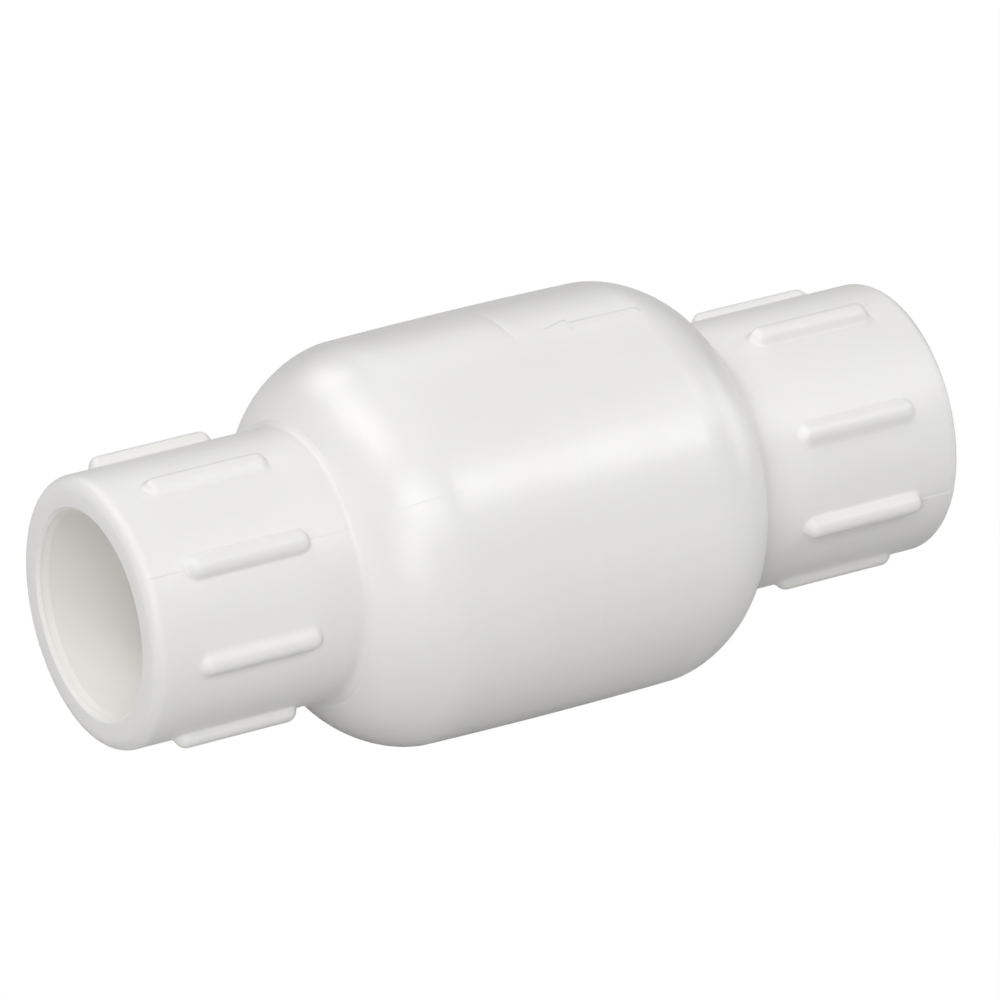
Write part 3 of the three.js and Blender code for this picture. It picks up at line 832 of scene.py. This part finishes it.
def seal_rubber():
    """Black EPDM with a fine dull grain."""
    m = Nodes("seal_rubber")
    place = m.place()
    cloud = m.spread(m.noise(place, 400, 4), 0, 1)
    m.set(Base_Color=m.between(cloud, (0.014, 0.014, 0.015), (0.03, 0.03, 0.031)))
    m.set(Roughness=m.spread(m.noise(place, 2500, 3), 0.55, 0.72))
    m.set(Normal=m.bump(m.noise(place, 6000, 3), 0.000012))
    return m.material


def stainless():
    """Drawn and turned stainless steel, with fine lines round the axis."""
    m = Nodes("stainless")
    place = m.place()
    lines = m.add("ShaderNodeMapping", {"Vector": place, "Scale": (9.0, 1.0, 1.0)}).outputs["Vector"]
    cloud = m.spread(m.noise(place, 300, 3), 0, 1)
    m.set(Base_Color=m.between(cloud, (0.56, 0.555, 0.54), (0.66, 0.655, 0.645)))
    m.set(Metallic=1.0)
    m.set(Roughness=m.spread(m.noise(lines, 900, 3), 0.2, 0.36))
    m.set(Normal=m.bump(m.noise(lines, 2500, 2), 0.000004))
    return m.material


# ---------------------------------------------------------------- assembly

def fit(piece, body, node, material):
    """Puts a finished piece in place of its CAD node."""
    piece.data.materials.clear()
    piece.data.materials.append(material)
    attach(piece, body)
    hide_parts(node)
    return piece


def build_valve():
    pvc, acetal, rubber, steel = shell_pvc(), inner_plastic(), seal_rubber(), stainless()
    inlet = shell_half("inlet_half_moulding", 1, INLET_SEAM, inlet_inside(), 1, INLET_SEAM_FADE, True)
    outlet = shell_half("outlet_half_moulding", -1, OUTLET_SEAM, outlet_inside(), -1, OUTLET_SEAM_FADE, False)
    fit(inlet, SHELL_BODY, "inlet_half", pvc)
    fit(outlet, SHELL_BODY, "outlet_half", pvc)
    fit(guide_piece(), SHELL_BODY, "stem_guide", acetal)
    fit(poppet_piece(), POPPET_BODY, "poppet", acetal)
    fit(seal_piece(), POPPET_BODY, "seat_seal", rubber)
    fit(retainer_piece(), POPPET_BODY, "seal_retainer", acetal)
    fit(screw_piece(), POPPET_BODY, "retainer_screw", steel)
    spring = fit(spring_piece(), SHELL_BODY, "poppet_spring", steel)
    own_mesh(spring)


# ---------------------------------------------------------------- camera, floor and light

CAMERA_AZIMUTH = math.radians(-30.742)
CAMERA_ELEVATION = math.radians(24.912)
CAMERA_DISTANCE = 1100  # mm
CAMERA_ASIDE = (0.391, 1.342)  # mm to the right and up
CAMERA_SENSOR = 36
CAMERA_LENS = 381.75
FLOOR_HALF = 4.0  # m
FLOOR_GLOW = 1.0
FLOOR_BOUNCE = 0.6
LIGHT_DISTANCE = 0.9  # m

# Softboxes: azimuth and elevation in degrees, where azimuth 0 is in front and 90 is at the inlet end;
# then size in metres and power in watts
SOFTBOXES = {
    "front_left": (315, 40, 0.35, 1.46),
    "front": (337.5, 38, 0.42, 1.41),
    "front_left_low": (315, 12, 0.42, 1.78),
    "front_right_small": (36.8, 39.3, 0.25, 1.28),
    "right": (67.5, 38, 0.42, 1.5),
    "right_low": (90, 12, 0.42, 1.39),
    "left_high": (265, 58, 0.3, 1.37),
    "back_left": (230, 50, 0.35, 1.55),
    "back": (196, 36, 0.35, 1.33),
    "back_right": (150, 40, 0.42, 0.5),
}


def direction(azimuth, elevation):
    """The way from the valve to something at an azimuth and elevation."""
    level = math.cos(elevation)
    return Vector((math.sin(azimuth) * level, -math.cos(azimuth) * level, math.sin(elevation)))


def camera_axes():
    """The camera's back, right and up directions."""
    back = direction(CAMERA_AZIMUTH, CAMERA_ELEVATION)
    right = Vector((math.cos(CAMERA_AZIMUTH), math.sin(CAMERA_AZIMUTH), 0))
    return back, right, back.cross(right)


def add_camera():
    back, right, up = camera_axes()
    data = bpy.data.cameras.new("camera")
    data.sensor_width = CAMERA_SENSOR
    data.lens = CAMERA_LENS
    data.clip_start, data.clip_end = 0.05, 20
    camera = bpy.data.objects.new("camera", data)
    place = back * CAMERA_DISTANCE + right * CAMERA_ASIDE[0] + up * CAMERA_ASIDE[1]
    turn = Matrix((right, up, back)).transposed().to_4x4()
    camera.matrix_world = Matrix.Translation(place * MM) @ turn
    bpy.context.scene.collection.objects.link(camera)
    bpy.context.scene.camera = camera


def add_softbox(name, azimuth_deg, elevation_deg, size, power):
    """A square softbox in a direction from the valve, facing it."""
    data = bpy.data.lights.new(name, "AREA")
    data.size = size
    data.energy = power
    light = bpy.data.objects.new(name, data)
    way = direction(math.radians(azimuth_deg), math.radians(elevation_deg))
    light.location = way * LIGHT_DISTANCE
    light.rotation_mode = "QUATERNION"
    light.rotation_quaternion = way.to_track_quat("Z", "Y")
    light.visible_camera = False
    bpy.context.scene.collection.objects.link(light)


def plane(name, material):
    """A staged white plane that the valve lies on."""
    mesh = bpy.data.meshes.new(name)
    corners = [(x * FLOOR_HALF, y * FLOOR_HALF, 0) for x, y in ((-1, -1), (1, -1), (1, 1), (-1, 1))]
    mesh.from_pydata(corners, [], [(0, 1, 2, 3)])
    mesh.materials.append(material)
    floor = bpy.data.objects.new(name, mesh)
    floor.location.z = -BODY_R * MM
    bpy.context.scene.collection.objects.link(floor)
    return floor


def add_floor():
    """A light table: one plane is what the camera sees, and the other sends light back up to the valve."""
    seen = Nodes("floor_seen")
    seen.set(Base_Color=(0.2, 0.2, 0.2, 1), Roughness=1.0, Specular_IOR_Level=0.0)
    seen.set(Emission_Color=(1, 1, 1, 1), Emission_Strength=FLOOR_GLOW)
    top = plane("floor_seen", seen.material)
    for ray in ("diffuse", "glossy", "transmission", "shadow"):
        setattr(top, "visible_" + ray, False)
    bounce = Nodes("floor_bounce")
    bounce.set(Base_Color=(FLOOR_BOUNCE, FLOOR_BOUNCE, FLOOR_BOUNCE, 1), Roughness=0.9)
    under = plane("floor_bounce", bounce.material)
    under.visible_camera = False


def add_world():
    """A white surround, which only the camera sees."""
    world = bpy.data.worlds.new("studio")
    world.use_nodes = True
    world.node_tree.nodes["Background"].inputs["Color"].default_value = (1, 1, 1, 1)
    world.node_tree.nodes["Background"].inputs["Strength"].default_value = 1.0
    rays = world.cycles_visibility
    rays.camera = True
    for ray in ("diffuse", "glossy", "transmission", "scatter"):
        setattr(rays, ray, False)
    bpy.context.scene.world = world


add_camera()
build_valve()
add_floor()
add_world()
for softbox, setting in SOFTBOXES.items():
    add_softbox(softbox, *setting)
bpy.context.scene.view_settings.view_transform = "Standard"
